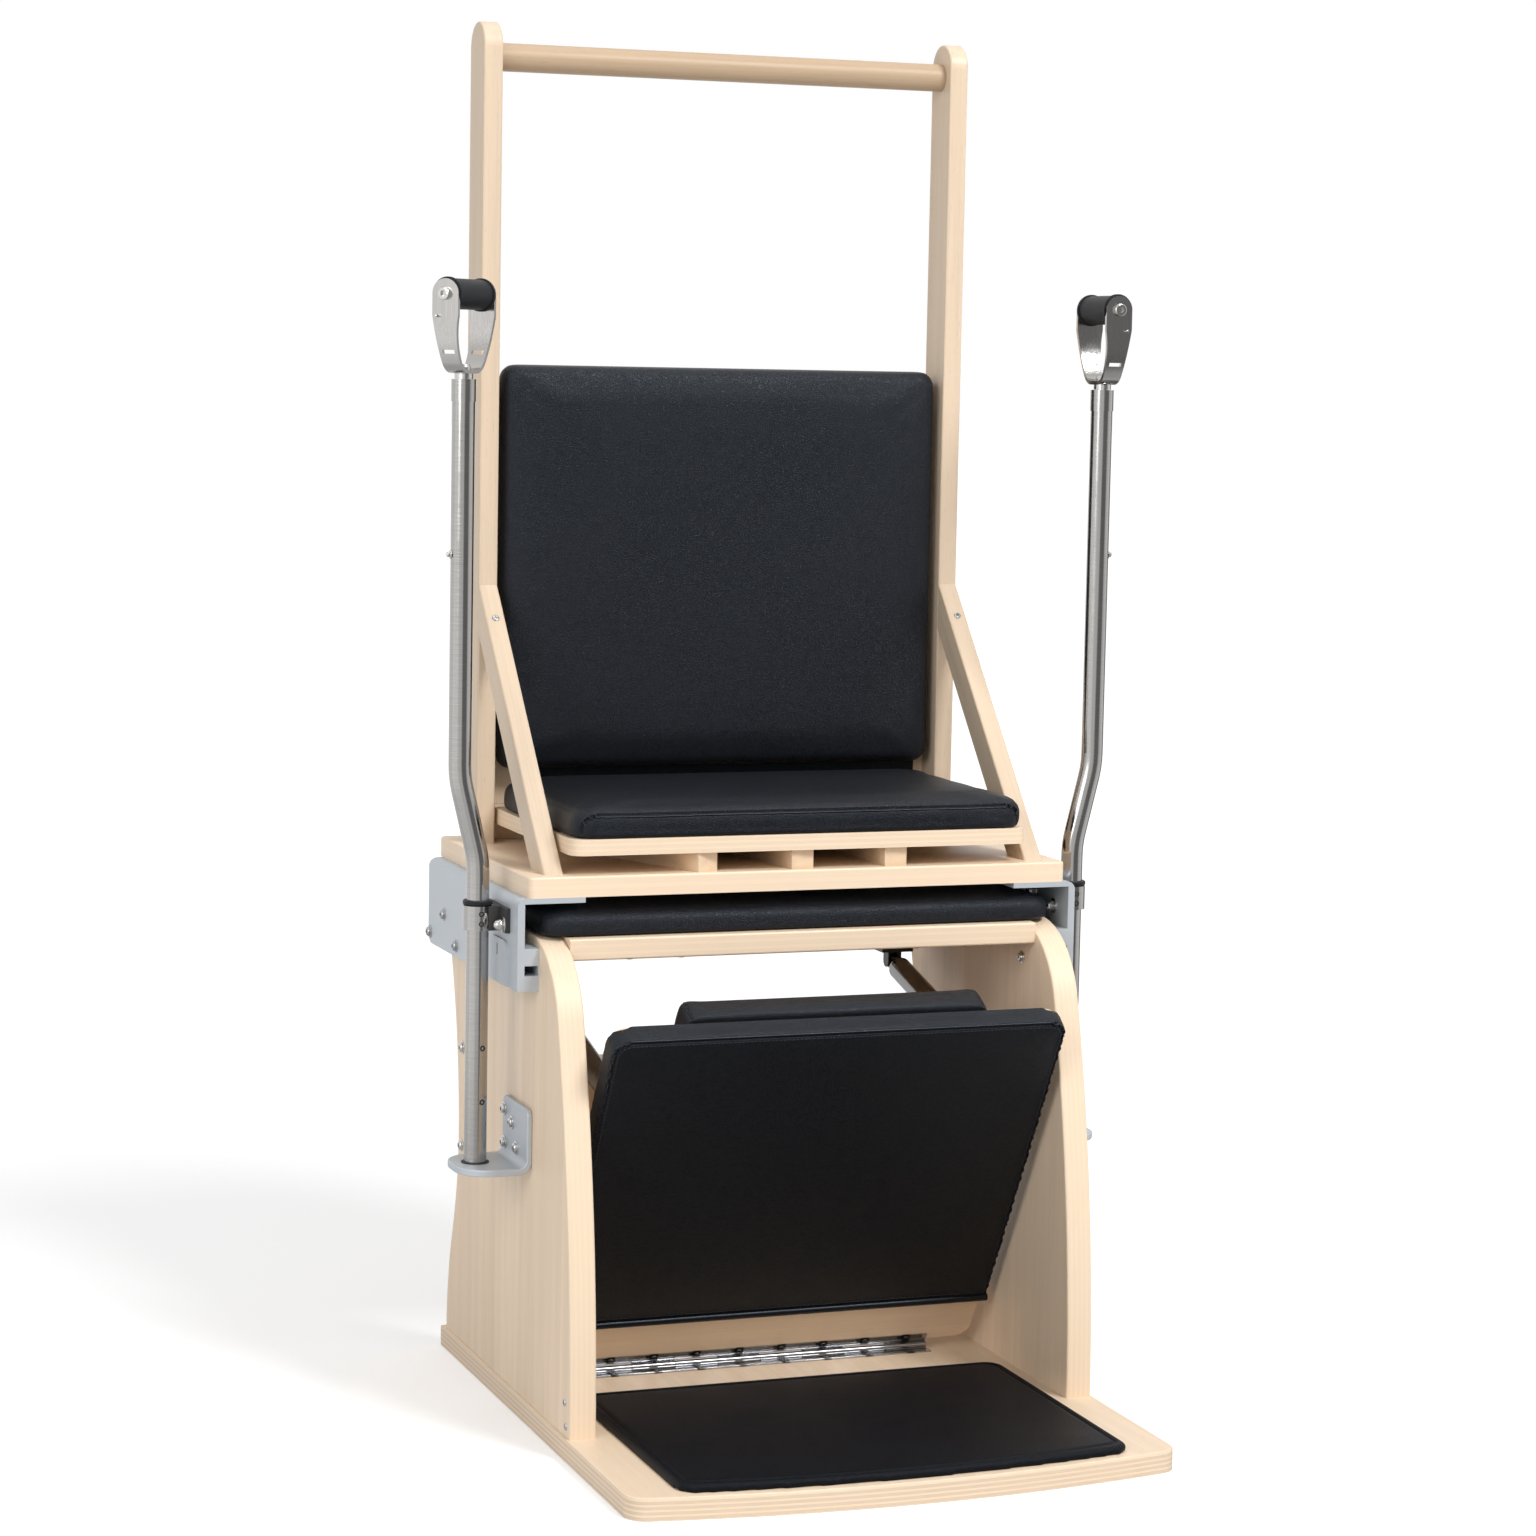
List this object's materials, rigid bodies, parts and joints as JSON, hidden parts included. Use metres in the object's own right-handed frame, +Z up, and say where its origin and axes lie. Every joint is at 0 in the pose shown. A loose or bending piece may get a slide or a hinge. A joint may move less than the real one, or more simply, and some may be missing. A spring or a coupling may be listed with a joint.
{
  "type": "pilates chair",
  "caption": "High-back pilates chair: plywood box with a sprung padded pedal, cushioned bench with uprights and top bar, and bent side poles that end in swivelling yoke grips.",
  "frame": {"origin": "on the floor under the base board, on its centre line, 369.5 mm before its back edge", "axes": "+X to the chair's right as seen from its front, front faces -Y, +Z up"},
  "size_m": [0.8182, 0.7529, 1.5543],
  "materials": {
    "ply": "clear satin lacquer over pale plywood",
    "beech": "clear satin lacquer over solid beech",
    "vinyl": "near-black grained vinyl over foam",
    "grey_coat": "fine grey powder coat",
    "steel": "brushed stainless steel",
    "chrome": "polished plate",
    "black_plastic": "moulded matt black",
    "rubber": "matt black rubber"
  },
  "bodies": {
    "frame": {"base_board": "ply", "base_pad": "vinyl", "chair_seat_board": "ply", "chair_seat_cushion": "vinyl", "rear_rail": "ply", "tie_board": "ply", "hinge_base_leaf": "chrome", "hinge_pin": "chrome", "bench_board": "ply", "riser_left": "beech", "riser_mid": "beech", "riser_right": "beech", "bench_seat_board": "ply", "bench_seat_cushion": "vinyl", "top_dowel": "beech", "back_board": "ply", "back_cushion": "vinyl", "side_panel_left": "ply", "side_panel_right": "ply", "strut_hanger_left": "chrome", "strut_hanger_right": "chrome", "side_bracket_left": "grey_coat", "side_bracket_right": "grey_coat", "cover_plate_left": "grey_coat", "cover_plate_right": "grey_coat", "pole_collar_left": "steel", "pole_collar_right": "steel", "pole_clamp_left": "black_plastic", "pole_clamp_right": "black_plastic", "lower_bracket_left": "grey_coat", "lower_bracket_right": "grey_coat", "pole_bush_left": "black_plastic", "pole_bush_right": "black_plastic", "upright_left": "beech", "upright_right": "beech", "brace_left": "beech", "brace_right": "beech"},
    "pedal": {"pedal_board": "ply", "pedal_pad": "vinyl", "pedal_back_pad": "vinyl", "hinge_pedal_leaf": "chrome", "pedal_lug_left": "chrome", "pedal_lug_right": "chrome"},
    "strut_tube_left": {"strut_tube_left": "chrome"},
    "strut_rod_left": {"strut_rod_left": "chrome"},
    "pole_left": {"pole_left": "steel", "pole_stop_left": "rubber"},
    "yoke_left": {"yoke_left": "steel", "yoke_stem_left": "chrome", "grip_bolt_left": "chrome"},
    "grip_left": {"grip_left": "rubber"},
    "strut_tube_right": {"strut_tube_right": "chrome"},
    "strut_rod_right": {"strut_rod_right": "chrome"},
    "pole_right": {"pole_right": "steel", "pole_stop_right": "rubber"},
    "yoke_right": {"yoke_right": "steel", "yoke_stem_right": "chrome", "grip_bolt_right": "chrome"},
    "grip_right": {"grip_right": "rubber"}
  },
  "joints": [
    {"name": "pedal_hinge", "type": "hinge", "parent": "frame", "child": "pedal", "pos_m": [0, 0.1085, 0.0284], "axis": [1, 0, 0], "range_deg": [0, 45], "stiffness_Nm_per_rad": 40, "springref_deg": -34.38},
    {"name": "strut_tube_left_pivot", "type": "hinge", "parent": "frame", "child": "strut_tube_left", "pos_m": [-0.23, 0.2912, 0.4568], "axis": [1, 0, 0], "range_deg": [0, 14.3]},
    {"name": "strut_rod_left_pivot", "type": "hinge", "parent": "pedal", "child": "strut_rod_left", "pos_m": [-0.23, -0.04842, 0.37139], "axis": [1, 0, 0], "range_deg": [-30.9, 0]},
    {"name": "pole_left_height", "type": "slide", "parent": "frame", "child": "pole_left", "axis": [0, 0, 1], "range_m": [0, 0.12]},
    {"name": "yoke_left_swivel", "type": "hinge", "parent": "pole_left", "child": "yoke_left", "pos_m": [-0.38, 0.0605, 1.15024], "axis": [0, 0, 1], "continuous": true},
    {"name": "grip_left_roll", "type": "hinge", "parent": "yoke_left", "child": "grip_left", "pos_m": [-0.38, 0.0605, 1.24124], "axis": [0.7193, 0.6947, 0], "continuous": true},
    {"name": "strut_tube_right_pivot", "type": "hinge", "parent": "frame", "child": "strut_tube_right", "pos_m": [0.23, 0.2912, 0.4568], "axis": [1, 0, 0], "range_deg": [0, 14.3]},
    {"name": "strut_rod_right_pivot", "type": "hinge", "parent": "pedal", "child": "strut_rod_right", "pos_m": [0.23, -0.04842, 0.37139], "axis": [1, 0, 0], "range_deg": [-30.9, 0]},
    {"name": "pole_right_height", "type": "slide", "parent": "frame", "child": "pole_right", "axis": [0, 0, 1], "range_m": [0, 0.12]},
    {"name": "yoke_right_swivel", "type": "hinge", "parent": "pole_right", "child": "yoke_right", "pos_m": [0.38, 0.0605, 1.15024], "axis": [0, 0, 1], "continuous": true},
    {"name": "grip_right_roll", "type": "hinge", "parent": "yoke_right", "child": "grip_right", "pos_m": [0.38, 0.0605, 1.24124], "axis": [0, -1, 0], "continuous": true}
  ],
  "couplings": [
    {"joint": "strut_tube_left_pivot", "follows": "pedal_hinge", "ratio": 0.3163},
    {"joint": "strut_rod_left_pivot", "follows": "pedal_hinge", "ratio": -0.6837},
    {"joint": "strut_tube_right_pivot", "follows": "pedal_hinge", "ratio": 0.3163},
    {"joint": "strut_rod_right_pivot", "follows": "pedal_hinge", "ratio": -0.6837}
  ]
}
